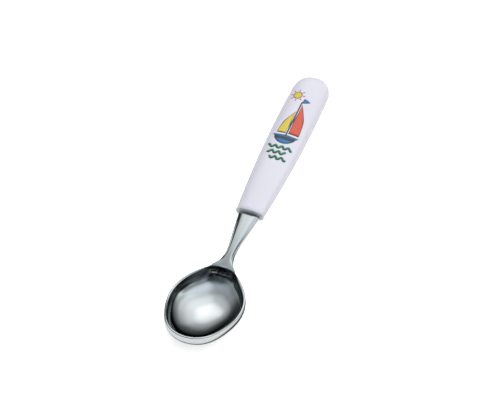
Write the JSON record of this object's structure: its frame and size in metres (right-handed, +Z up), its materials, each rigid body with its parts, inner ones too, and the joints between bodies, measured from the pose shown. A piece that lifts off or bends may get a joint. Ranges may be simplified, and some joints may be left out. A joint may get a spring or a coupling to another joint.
{
  "type": "baby spoon",
  "caption": "Small spoon with a polished steel bowl and neck, a thin steel collar and a white moulded plastic handle with rounded sides and end.",
  "frame": {"origin": "on the table, under the middle of the spoon's length and width, with the spoon lying on the belly of its bowl and the end of its handle", "axes": "+X across the spoon, +Y from the bowl's tip to the handle's end, +Z up from the table, out of the open side of the bowl"},
  "size_m": [0.0328, 0.1508, 0.0141],
  "materials": {
    "steel": "mirror polished stainless steel",
    "collar_steel": "polished stainless steel",
    "shell": "glossy",
    "resin": "cured resin"
  },
  "bodies": {
    "root": {"blank": "steel", "collar": "collar_steel", "handle": "shell", "bond": "resin"}
  },
  "joints": []
}
